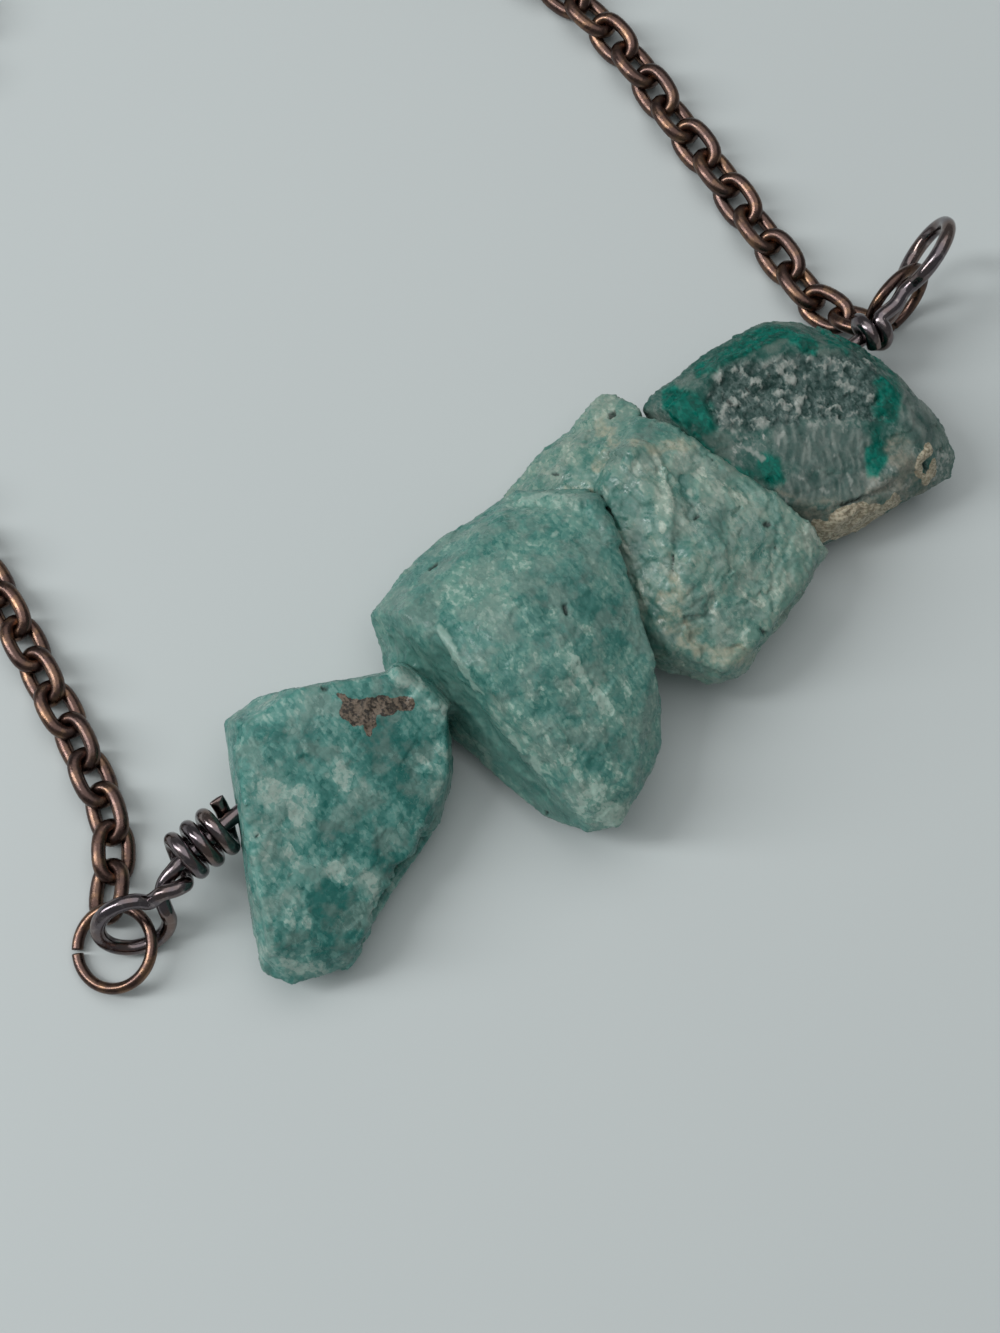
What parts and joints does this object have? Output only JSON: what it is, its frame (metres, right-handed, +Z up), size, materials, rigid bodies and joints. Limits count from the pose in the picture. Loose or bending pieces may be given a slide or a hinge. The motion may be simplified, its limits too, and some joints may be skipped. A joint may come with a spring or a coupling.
{
  "type": "rough amazonite nuggets strung on a copper wire bar with its necklace chain",
  "caption": "Raw blue-green amazonite nuggets strung on a looped and wrapped copper wire, with jump rings and a fine cable chain.",
  "frame": {"origin": "the middle of the strung bar in plan, on the surface that it lies on", "axes": "+X along the wire from the left loop to the right loop, +Y from the bar towards the coiled chain, +Z up"},
  "size_m": [0.0762, 0.104, 0.011],
  "materials": {
    "teal_amazonite": "rough cleaved teal feldspar with white flecks",
    "mint_amazonite": "cleaved mint-green feldspar, slightly translucent",
    "pale_amazonite": "rough pale grey-green feldspar with cream streaks",
    "emerald_amazonite": "saturated green feldspar with a grey-white crust",
    "gunmetal_copper": "dark oxidised copper, smooth",
    "antique_copper": "brown antiqued copper, brighter on the high spots"
  },
  "bodies": {
    "root": {"left_nugget": "teal_amazonite", "large_nugget": "mint_amazonite", "slab_nugget": "pale_amazonite", "green_nugget": "emerald_amazonite", "bar_wire": "gunmetal_copper", "left_jump_ring": "antique_copper", "right_jump_ring": "antique_copper", "left_chain": "antique_copper", "right_chain": "antique_copper", "chain_coil": "antique_copper"}
  },
  "joints": []
}
